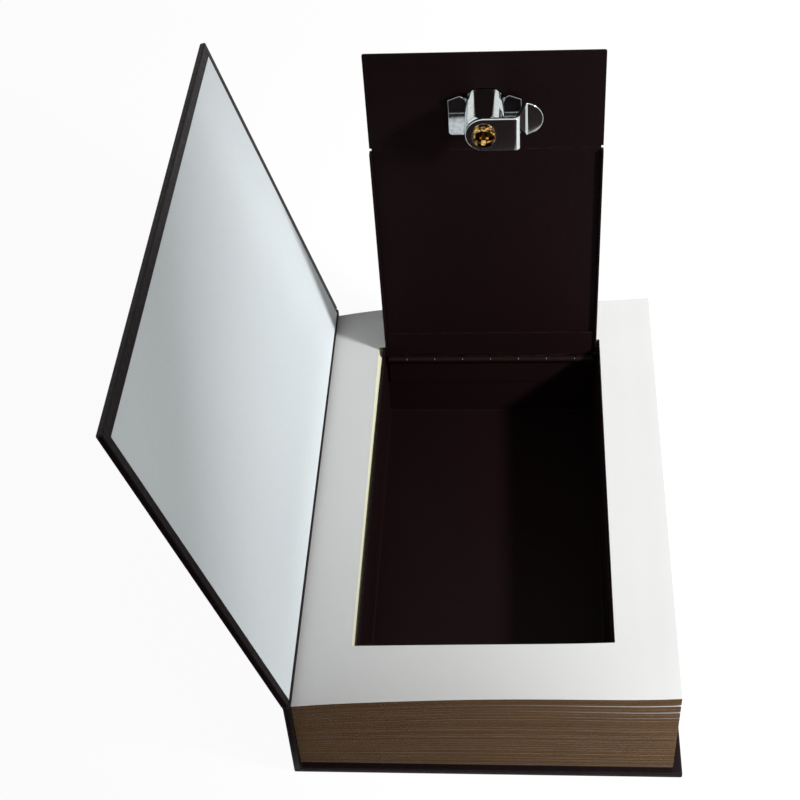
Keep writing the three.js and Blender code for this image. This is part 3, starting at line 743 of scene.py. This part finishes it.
# %% Spine and back cover
LEATHER = 0.3
WRAP_LOW, WRAP_HIGH = box_mm("spine_and_back_wrap")
COVER_THICK = box_mm("back_cover_board")[1].z + LEATHER
BEAD = joint_place("front_cover_hinge") / MM
BEAD_RADIUS = COVER_THICK / 2
SPINE_INNER = box_mm("page_block")[0].x
EDGE_ROUND = 0.7


def make_spine_and_back():
    outline = [
        (WRAP_LOW.x, WRAP_LOW.z), (WRAP_HIGH.x, WRAP_LOW.z), (WRAP_HIGH.x, COVER_THICK),
        (SPINE_INNER, COVER_THICK), (SPINE_INNER, BEAD.z - BEAD_RADIUS),
    ]
    outline += arc((BEAD.x, BEAD.z), BEAD_RADIUS, 0, 180, 16)
    piece = extruded("spine_and_back_cover", outline, WRAP_LOW.y, WRAP_HIGH.y, "y")
    return rounded(piece, EDGE_ROUND, 4)


finished(make_spine_and_back(), "book", "spine_and_back_wrap", LEATHERETTE)

# %% Front cover and its lining
NEAR_EDGE = BEAD_RADIUS + PAPER_CLEARANCE
COVER_REACH = 152.6
TURN_IN = {"fore": 4.6, "tail": 3.6, "head": 4.2}
LINING_PROUD = 0.12
LINING_SINK = 0.1
LINING_WAVE = 0.04


def grid(name, rows, turned, placed_by):
    """A surface through rows of points. Turned puts its front on the other side."""
    wide = len(rows[0])
    first, last = (wide, 1) if turned else (1, wide)
    faces = [[corner, corner + first, corner + wide + 1, corner + last]
             for row in range(len(rows) - 1) for corner in range(row * wide, row * wide + wide - 1)]
    return new_piece(name, [point for row in rows for point in row], faces, placed_by)


def make_front_cover():
    outline = rectangle(NEAR_EDGE, WRAP_LOW.y, COVER_REACH, WRAP_HIGH.y)
    piece = extruded("front_cover_case", outline, -BEAD_RADIUS, BEAD_RADIUS, "z", COVER_FRAME)
    return rounded(piece, EDGE_ROUND, 4)


def make_cover_lining():
    xs = stations([NEAR_EDGE, COVER_REACH - TURN_IN["fore"]], [40])
    ys = stations([WRAP_LOW.y + TURN_IN["tail"], WRAP_HIGH.y - TURN_IN["head"]], [60])

    def height(x, y):
        drift = LINING_WAVE * math.sin(x / 17) * math.sin(y / 23)
        return -BEAD_RADIUS - LINING_PROUD / 2 - abs(drift)
    rows = [[(x, y, height(x, y)) for x in xs] for y in ys]
    lining = grid("front_cover_lining", rows, True, COVER_FRAME)
    modified(lining, "SOLIDIFY", thickness=(LINING_PROUD + LINING_SINK) * MM, offset=-1)
    return smooth_below(lining, 40)


finished(make_front_cover(), "front_cover", "front_cover_wrap", LEATHERETTE)
finished(make_cover_lining(), "front_cover", "front_endpaper", LINING)

# %% The cloth over the joint
JOINT_LAP = 7
JOINT_CLOTH = 0.25
JOINT_PROUD = 0.05
JOINT_BEND = 1.4


def joint_line():
    """The strip in section: up the spine, a slight turn at the bead, and along the cover."""
    radius = BEAD_RADIUS + JOINT_PROUD - JOINT_CLOTH / 2
    lean = math.radians(COVER_OPENING)
    along = Vector((math.cos(lean), math.sin(lean)))
    corner = Vector((BEAD.x - radius, BEAD.z + radius * (1 - math.sin(lean)) / math.cos(lean)))
    up_spine = stations([-JOINT_LAP, -JOINT_BEND, 0], [3, 4])
    up_cover = stations([0, JOINT_BEND, NEAR_EDGE + JOINT_LAP], [4, 3])[1:]
    line = [tuple(corner + Vector((0, reach))) for reach in up_spine]
    line += [tuple(corner + along * reach) for reach in up_cover]
    start = corner - Vector((0, JOINT_BEND))
    end = corner + along * JOINT_BEND
    return line, start, end


def make_joint_cloth():
    line, start, end = joint_line()
    ys = stations([WRAP_LOW.y + EDGE_ROUND, WRAP_HIGH.y - EDGE_ROUND], [24])
    rows = [[(x, y, z) for x, z in line] for y in ys]
    piece = grid("joint_cloth", rows, False, ROW_FRAME)
    plain(modified(piece, "SOLIDIFY", thickness=JOINT_CLOTH * MM, offset=0))
    facing_out(smooth_below(piece, 60))
    piece.data.materials.append(LEATHERETTE)
    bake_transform(piece)


make_joint_cloth()

# %% [markdown]
# ## Folded steel: tray, lid and catch
# These are sheet metal with tight folds, so the CAD shape is right and only its edges are too
# sharp. A merged copy of each gets a bevel weight on its sharp edges, apart from the shallow
# crease across the lid, which would be lost, and a Bevel modifier rounds those by about a fifth
# of a millimetre.

# %% Tray, lid and catch
SHARP_TURN = 35
CREASE_REACH = 114.4
CREASE_NEAR = 1.2
LID_BACK = LID_FRAME.inverted()


def soft_edges(piece, width, skip):
    """Rounds the sharp edges of a merged copy, apart from those that skip picks."""
    def work(cage):
        weight = cage.edges.layers.float.new("bevel_weight_edge")
        for edge in cage.edges:
            edge[weight] = float(not edge.smooth and not (skip and skip(edge)))
    edit(smooth_below(piece, SHARP_TURN), work)
    return modified(piece, "BEVEL", width=width * MM, segments=2, limit_method="WEIGHT",
                    use_clamp_overlap=False, harden_normals=True)


def at_crease(edge):
    places = [(LID_BACK @ vertex.co).y for vertex in edge.verts]
    return all(abs(place + CREASE_REACH) < CREASE_NEAR for place in places)


FOLDED = {
    "cash_tray": ("steel_tray", "book", 0.22, None),
    "cash_lid": ("steel_lid", "lid", 0.2, at_crease),
    "lock_catch": ("steel_catch", "book", 0.18, None),
}
for node_name, (name, body, width, skip) in FOLDED.items():
    piece = soft_edges(copy_of_node(node_name, name), width, skip)
    finished(piece, body, node_name, BLACK_STEEL)

# %% [markdown]
# ## The piano hinge
# A piano hinge is two strips whose edges are rolled round one pin in turn. One rolled knuckle is
# drawn as a curl of sheet, and a Geometry Nodes row repeats it at the hinge's pitch. The leaf on
# the lid is the one on the tray turned round, so that its knuckles fall into the other's gaps.

# %% A rolled knuckle and the row that repeats it
BARREL_RADIUS = 1.5
LEAF_SHEET = 0.8
KNUCKLE_PITCH = 12.7
KNUCKLES = 8
KNUCKLE_GAP = 0.3
LEAF_WIDTH = 15.1
HINGE_EDGE = 0.12
LEAF_BACK = BARREL_RADIUS + KNUCKLE_GAP / 2
CURL_SHARE = 0.62
TUCK_SHARE = 0.55
PIN_LOW, PIN_HIGH = box_mm("hinge_pin")
HINGE_LENGTH = PIN_HIGH.x - PIN_LOW.x


def knuckle_outline():
    """The curl in the hinge's section: the strip comes down its back and rolls round the pin."""
    inner = BARREL_RADIUS - LEAF_SHEET * CURL_SHARE
    front = LEAF_BACK - LEAF_SHEET
    foot = BARREL_RADIUS + KNUCKLE_GAP + LEAF_SHEET
    outside = [(LEAF_BACK, foot)] + arc((0, 0), LEAF_BACK, 0, -28, 3)
    outside += arc((0, 0), BARREL_RADIUS, -32, -318, 30)
    inside = arc((0, 0), inner, -318, -12, 30)
    return outside + inside + [(front, foot * TUCK_SHARE), (front, foot)]


def make_row_tree():
    tree, given = open_tree("knuckle_row", "Knuckle", Count="Int", Pitch="Float", Material="Material")
    step = node(tree, "ShaderNodeCombineXYZ", {"X": given["Pitch"]})
    line = node(tree, "GeometryNodeMeshLine", {"Count": given["Count"], "Offset": step[0]},
                mode="OFFSET")
    return close_tree(tree, copies(tree, line[0], given["Knuckle"]), given["Material"])


ROW_TREE = make_row_tree()


def make_hinge_leaf(name, placed_by):
    """One leaf, drawn standing up behind the hinge line, with every other knuckle."""
    half = HINGE_LENGTH / 2
    whole = KNUCKLES // 2 - 1
    first = (1 - KNUCKLES / 2) * KNUCKLE_PITCH + KNUCKLE_GAP / 2
    row = extruded(name, knuckle_outline(), first, first + KNUCKLE_PITCH - KNUCKLE_GAP, "x")
    grown(row, ROW_TREE, {"Count": whole, "Pitch": 2 * KNUCKLE_PITCH * MM, "Material": BLACK_STEEL})
    last = extruded("last_knuckle", knuckle_outline(), first + whole * 2 * KNUCKLE_PITCH, half, "x")
    strip = rectangle(LEAF_BACK - LEAF_SHEET, BARREL_RADIUS + KNUCKLE_GAP, LEAF_BACK, LEAF_WIDTH)
    plate = extruded("leaf_plate", strip, -half, half, "x")
    leaf = joined([row, last, plate])
    leaf.data.transform(placed_by @ Matrix.Scale(1 / MM, 4))
    return rounded(smooth_below(leaf, SHARP_TURN), HINGE_EDGE, 2, 45)


HINGE_AT = local_frame(joint_place("lid_hinge"), Matrix())
LEAVES = {
    "tray_hinge_leaf": ("hinge_leaf_on_tray", "book", HINGE_AT @ Matrix.Rotation(math.pi, 4, "Y")),
    "lid_hinge_leaf": ("hinge_leaf_on_lid", "lid", LID_FRAME @ Matrix.Rotation(math.pi / 2, 4, "X")),
}
for node_name, (name, body, place) in LEAVES.items():
    finished(make_hinge_leaf(name, place), body, node_name, BLACK_STEEL)

# %% [markdown]
# ## The cam lock
# This is the brightest thing in the picture, so it is drawn finely. All pieces are made about the
# lock's axis with the lid's underside at zero, and the lock's frame places them. The body is a
# grid of rings whose radius follows the thread, and a formula cuts it back to the flats.

# %% Lock body
HOUSING_RADIUS = 7.85
HEAD_RADIUS = 9.5
HEAD_THICK = 1.8
HEAD_ROUND = 0.9
BODY_DEPTH = 20.6
FLAT = 6.6
GRIP = 6.2
GRIP_DEPTH = 4.2
LID_SHEET = 0.8
TOUCH_GAP = 0.3
BORE = 5.1
THREAD_PITCH = 1.15
THREAD_DEPTH = 0.36
THREAD_STEPS = (0, 0.33, 0.67, 1, 0.67, 0.33)
THREAD_END = BODY_DEPTH - 1.1
BODY_TIP = ((0.15, 0.9), (0.2, 0.7), (0.7, 0.1), (0.9, 0))
ROUND_STEPS = 96


def ring_grid(name, rings, shape, closed=True):
    """A surface of rings. Each ring is a radius and a height, and shape may pull points in."""
    turns = [2 * math.pi * step / ROUND_STEPS for step in range(ROUND_STEPS)]
    vertices = [(*shape(radius, turn, height), height) for radius, height in rings for turn in turns]
    faces = []
    for ring in range(len(rings) if closed else len(rings) - 1):
        after = (ring + 1) % len(rings)
        for step in range(ROUND_STEPS):
            following = (step + 1) % ROUND_STEPS
            faces.append([ring * ROUND_STEPS + step, ring * ROUND_STEPS + following,
                          after * ROUND_STEPS + following, after * ROUND_STEPS + step])
    if not closed:
        faces.append(list(range(ROUND_STEPS)))
        faces.append([(len(rings) - 1) * ROUND_STEPS + step for step in range(ROUND_STEPS)])
    return facing_out(new_piece(name, vertices, faces, LOCK_FRAME))


def round_shape(radius, turn, height):
    return radius * math.cos(turn), radius * math.sin(turn)


def body_shape(radius, turn, height):
    """Flats toward the hinge and the free edge, and two grooves by the lid for the clip."""
    across = abs(math.sin(turn))
    beside = abs(math.cos(turn))
    if BORE < radius <= HOUSING_RADIUS and radius * across > FLAT:
        radius = FLAT / across
    if radius > BORE and -GRIP_DEPTH <= height < -TOUCH_GAP / 2 and radius * beside > GRIP:
        radius = GRIP / beside
    return round_shape(radius, turn, height)


def thread_rings():
    rings = []
    height = -TOUCH_GAP / 2 - 0.05
    while height > -THREAD_END:
        share = THREAD_STEPS[len(rings) % len(THREAD_STEPS)]
        rings.append((HOUSING_RADIUS - THREAD_DEPTH * share, height))
        height -= THREAD_PITCH / len(THREAD_STEPS)
    return rings


def make_lock_body():
    face = LID_SHEET + TOUCH_GAP + HEAD_THICK
    flat = HEAD_RADIUS - HEAD_ROUND
    rings = [(BORE, face), (flat, face)]
    rings += [(flat + HEAD_ROUND * math.sin(turn), face - HEAD_ROUND + HEAD_ROUND * math.cos(turn))
              for turn in np.linspace(0.2, math.pi / 2, 5)]
    rings += [(HEAD_RADIUS, LID_SHEET + TOUCH_GAP), (HOUSING_RADIUS, LID_SHEET + TOUCH_GAP),
              (HOUSING_RADIUS, -TOUCH_GAP / 2 + 0.01), (HOUSING_RADIUS, -TOUCH_GAP / 2)]
    rings += thread_rings()
    rings += [(HOUSING_RADIUS - inward, rise - BODY_DEPTH) for inward, rise in BODY_TIP]
    rings.append((BORE, -BODY_DEPTH))
    return smooth_below(ring_grid("lock_body", rings, body_shape), 32)


finished(make_lock_body(), "lid", "lock_housing", CHROME)

# %% [markdown]
# ## Cam, screw and clip
# The cam and the clip are pressed from flat strip. Each is made the same way: a flat blank gets
# rounded rims, is scored across at the places where it will bend, and then every point is moved
# by the bend. The cam steps back toward the lid; the horseshoe clip is folded across its legs.

# %% A pressed sheet, and a line with rounded corners
def pressed_sheet(name, outline, gauge, rim, axis, stops, bend):
    """Axis is the blank's direction along which the stops lie, and bend places a point."""
    piece = extruded(name, outline, -gauge / 2, gauge / 2, "z", Matrix())
    along = Vector((axis == 0, axis == 1, 0))

    def work(cage):
        rims = [edge for edge in cage.edges if abs(edge.verts[0].co.z - edge.verts[1].co.z) < gauge / 2]
        bmesh.ops.bevel(cage, geom=rims, offset=rim, segments=4, profile=0.5, affect="EDGES")
        for stop in stops:
            everything = cage.verts[:] + cage.edges[:] + cage.faces[:]
            bmesh.ops.bisect_plane(cage, geom=everything, plane_co=along * stop, plane_no=along)
        bmesh.ops.triangulate(cage, faces=[face for face in cage.faces if len(face.verts) > 4])
        for vertex in cage.verts:
            vertex.co = LOCK_FRAME @ Vector(bend(*vertex.co))
    edit(piece, work)
    return modified(smooth_below(piece, 40), "WEIGHTED_NORMAL", keep_sharp=True)


def bent_line(corners, radius, steps):
    """A line through corners, in which every inner corner is rounded."""
    line = [Vector(corners[0])]
    for before, corner, after in zip(corners, corners[1:], corners[2:]):
        here = Vector(corner)
        back = (Vector(before) - here).normalized()
        ahead = (Vector(after) - here).normalized()
        half = back.angle(ahead) / 2
        centre = here + (back + ahead).normalized() * radius / math.sin(half)
        start = here + back * radius / math.tan(half) - centre
        end = here + ahead * radius / math.tan(half) - centre
        sweep = math.atan2(start.x * end.y - start.y * end.x, start.dot(end))
        line += [centre + Matrix.Rotation(sweep * step / steps, 2) @ start for step in range(steps + 1)]
    return line + [Vector(corners[-1])]


# %% Cam
CAM_SHEET = 1.6
CAM_WIDTH = 14.6
CAM_BEND_REACH = 13
CAM_LEAN = 3
CAM_TIP_REACH = 23.1
TONGUE_DEPTH = 11
CAM_BEND = 1.7
CAM_CORNER = 1
CAM_RIM = 0.3
CAM_FOOT = 0.3
RISER_SIDE = -1.4
BEND_STEPS = 8
PLATE_DEPTH = BODY_DEPTH + TOUCH_GAP + CAM_SHEET / 2


def make_cam():
    half = CAM_WIDTH / 2
    line = bent_line([(-half, -PLATE_DEPTH), (CAM_BEND_REACH, -PLATE_DEPTH),
                      (CAM_BEND_REACH + CAM_LEAN, -TONGUE_DEPTH), (CAM_TIP_REACH, -TONGUE_DEPTH)],
                     CAM_BEND, BEND_STEPS)
    reach = [-half]
    for first, second in zip(line, line[1:]):
        reach.append(reach[-1] + (second - first).length)
    ways = [(after - before).normalized()
            for before, after in zip(line[:1] + line, line[1:] + line[-1:])]

    def bend(along, side, proud):
        index = min(max(int(np.searchsorted(reach, along)), 1), len(line) - 1)
        share = (along - reach[index - 1]) / (reach[index] - reach[index - 1])
        place = line[index - 1].lerp(line[index], share)
        way = ways[index - 1].lerp(ways[index], min(max(share, 0), 1)).normalized()
        return place.x - way.y * proud, side, place.y + way.x * proud

    foot = reach[1 + BEND_STEPS] + CAM_FOOT
    tip = reach[-1] - half
    outline = arc((0, 0), half, 90, 270, 28) + arc((tip, 0), half, -90, 90, 28)
    outline += [(foot, RISER_SIDE)] + arc((foot - CAM_CORNER, half - CAM_CORNER), CAM_CORNER, 0, 90, 5)
    return pressed_sheet("cam_plate", outline, CAM_SHEET, CAM_RIM, 0, reach[1:-1], bend)


finished(make_cam(), "lock_barrel", "lock_cam", CHROME)

# %% Cam screw with a cross recess
SCREW_HEAD = 4.7
SCREW_HEIGHT = 1.9
SCREW_RIM = 0.5
SCREW_CHAMFER = 0.1
SCREW_POLE = 0.02
DOME_FALL = 0.7
DOME_SPREAD = 0.55
SCREW_SHANK = 1.6
SHANK_LENGTH = 7
SCREW_SEAT = -(BODY_DEPTH + TOUCH_GAP + CAM_SHEET + TOUCH_GAP)
CROSS = {"length": 8.2, "width": 1.7, "depth": 1.6, "turn": 3, "taper": 0.45}


def make_screw():
    end = SCREW_SEAT + SHANK_LENGTH
    rings = [(SCREW_POLE, SCREW_SEAT - SCREW_HEIGHT)]
    for turn in np.linspace(0.12, math.pi / 2, 12):
        rise = (SCREW_HEIGHT - SCREW_RIM) * math.cos(turn) ** DOME_FALL
        rings.append((SCREW_HEAD * math.sin(turn) ** DOME_SPREAD, SCREW_SEAT - SCREW_RIM - rise))
    rings += [(SCREW_HEAD, SCREW_SEAT - SCREW_CHAMFER), (SCREW_HEAD - SCREW_CHAMFER, SCREW_SEAT),
              (SCREW_SHANK, SCREW_SEAT), (SCREW_SHANK, end), (SCREW_POLE, end)]
    head = ring_grid("cross_head_screw", rings, round_shape, closed=False)
    outer = SCREW_SEAT - SCREW_HEIGHT - 1
    inner = outer + 1 + CROSS["depth"]
    long = CROSS["length"] / 2
    short = long * CROSS["taper"]
    wide = CROSS["width"] / 2
    blade = [(-long, outer), (long, outer), (short, inner), (-short, inner)]
    blades = []
    for quarter in (0, 90):
        turn = Matrix.Rotation(math.radians(quarter + CROSS["turn"]), 4, "Z")
        blades.append(extruded("driver", blade, -wide, wide, "y", LOCK_FRAME @ turn))
        modified(head, "BOOLEAN", operation="DIFFERENCE", object=blades[-1])
    plain(head)
    for used in blades:
        bpy.data.objects.remove(used)
    return smooth_below(head, 30)


finished(make_screw(), "lock_barrel", "cam_screw", SPOTTED_BRASS)

# %% Horseshoe clip
CLIP_WIDTH = 29.2
CLIP_TIPS = 5.2
CLIP_BACK = 13
CLIP_BOW = 2
CLIP_FOLD = 0.12
CLIP_SHEET = 0.9
CLIP_STAND_OFF = 0.65
CLIP_CORNER = 1.5
CLIP_RIM = 0.16
CLIP_ROWS = 28
CLIP_TIP = ((0, 2.1), (4.6, 0), (5.2, 0.1))
CLIP_THROAT = 2.4


def make_clip():
    half = CLIP_WIDTH / 2
    slot = GRIP + TOUCH_GAP
    body = HOUSING_RADIUS + TOUCH_GAP
    turn = math.degrees(math.acos(slot / body))
    tip = [(half - inward, rise - CLIP_TIPS) for inward, rise in CLIP_TIP]
    tip.append((slot, CLIP_THROAT - CLIP_TIPS))
    outline = [(-x, y) for x, y in tip] + arc((0, 0), body, 180 - turn, turn, 28) + tip[::-1]
    corner = half - CLIP_CORNER
    outline += arc((corner, CLIP_BACK - CLIP_CORNER), CLIP_CORNER, 0, 90, 6)
    outline += arc((-corner, CLIP_BACK - CLIP_CORNER), CLIP_CORNER, 90, 180, 6)

    def bend(x, y, proud):
        share = (CLIP_BACK - y) / (CLIP_BACK + CLIP_TIPS)
        return x, y, proud - CLIP_STAND_OFF - CLIP_BOW * math.hypot(2 * share - 1, CLIP_FOLD)

    rows = np.linspace(-CLIP_TIPS, CLIP_BACK, CLIP_ROWS)[1:-1]
    return pressed_sheet("spring_clip", outline, CLIP_SHEET, CLIP_RIM, 1, rows, bend)


finished(make_clip(), "lid", "lock_clip", ZINC)

# %% [markdown]
# ## Pieces that stay as they are
# The boards and the back paper, the hinge pin and the works inside the lock are right as CAD solids
# and are mostly hidden, so they keep their meshes and only get their finishes.

# %% Finishes on the CAD pieces that stay
KEPT = {name: GREYBOARD for name in ("back_cover_board", "spine_board", "front_cover_board")}
KEPT |= {"back_endpaper": LINING, "hinge_pin": SPRING_STEEL, "lock_plug": BRASS}
for number in range(1, 6):
    KEPT |= {f"lock_wafer_{number}": BRASS, f"wafer_spring_{number}": SPRING_STEEL}
for name, material in KEPT.items():
    for place in frame["nodes"][name].material_slots:
        place.material = material
    print(f"{name}: {material.name}")

# %% [markdown]
# ## Light and floor
# One soft lamp stands to the right of the book, close enough that the paper is brighter at the
# fore-edge than at the spine. The world fills the shadows weakly, and camera and mirror rays see
# it as plain white. The pale floor looks white to the camera but keeps the book's shadow. A black
# card lies in front of the book, as a photographer lays one, and only reflections see it.

# %% Lamp, world and floor
LAMP_FROM = Vector((0.47, -0.24, 0.45))
LAMP_AT = Vector((0.66, 0.04, 0.04))
LAMP_SIZE = 0.12
LAMP_WATTS = 16.4
LAMP_SPREAD = 160
FILL = (0.2, 0.19, 0.182, 1.0)
FLOOR_HALF = 4.0
FLOOR_LIFT = 0.86
FLOOR_GLOW = 1.1
FLOOR_PALE = 0.55
FLAG_NEAR = 0.118
FLAG_FAR = 0.75
FLAG_HALF = 0.4


def make_lamp():
    data = bpy.data.lights.new("soft_box", "AREA")
    data.shape = "DISK"
    data.size = LAMP_SIZE
    data.energy = LAMP_WATTS
    data.spread = math.radians(LAMP_SPREAD)
    lamp = in_scene("soft_box", data)
    lamp.location = LAMP_FROM
    lamp.rotation_euler = (LAMP_AT - LAMP_FROM).to_track_quat("-Z", "Y").to_euler()


def seen(tree):
    """1 for the rays that show the backdrop: to the camera, in a mirror and through glass."""
    rays = node(tree, "ShaderNodeLightPath")
    looking = maths(tree, "MAXIMUM", rays["Is Camera Ray"], rays["Is Glossy Ray"])
    return maths(tree, "MAXIMUM", looking, rays["Is Transmission Ray"])


def make_world():
    world = bpy.data.worlds.new("studio")
    bpy.context.scene.world = world
    world.use_nodes = True
    tree = world.node_tree
    colour = node(tree, "ShaderNodeMix", {0: seen(tree), 6: FILL, 7: (1, 1, 1, 1)}, data_type="RGBA")
    tree.links.new(colour[2], tree.nodes["Background"].inputs["Color"])


def make_card(name, reach, height, finish_name, colour, rough, sheen):
    """A flat card on the stage, and its paint."""
    card = new_piece(name, [(x, y, height) for x, y in rectangle(*reach)], [[0, 1, 2, 3]], Matrix())
    paint = Finish(finish_name)
    card.data.materials.append(paint.set(Base_Color=colour, Roughness=rough, Specular_IOR_Level=sheen))
    return card, paint


def make_floor():
    reach = (-FLOOR_HALF, -FLOOR_HALF, FLOOR_HALF, FLOOR_HALF)
    pale = (FLOOR_PALE, FLOOR_PALE, FLOOR_PALE, 1)
    paint = make_card("floor", reach, 0, "floor_white", pale, 0.9, 0.1)[1]
    tree = paint.tree
    glow = paint.add("ShaderNodeEmission", {"Strength": FLOOR_GLOW})[0]
    share = maths(tree, "MULTIPLY", seen(tree), FLOOR_LIFT)
    both = paint.add("ShaderNodeMixShader", {0: share, 1: paint.shader.outputs[0], 2: glow})[0]
    tree.links.new(both, tree.nodes["Material Output"].inputs["Surface"])


def make_flag():
    reach = (-FLAG_HALF, -FLAG_FAR, FLAG_HALF, -FLAG_NEAR)
    flag = make_card("black_flag", reach, MM, "flag_black", linear(52, 42, 43), 1.0, 0.0)[0]
    flag.visible_camera = False
    flag.visible_diffuse = False
    flag.visible_shadow = False


make_lamp()
make_world()
make_floor()
make_flag()
bpy.context.scene.view_settings.view_transform = "Standard"
print("lamp", LAMP_WATTS, "W, fill", FILL[:3])
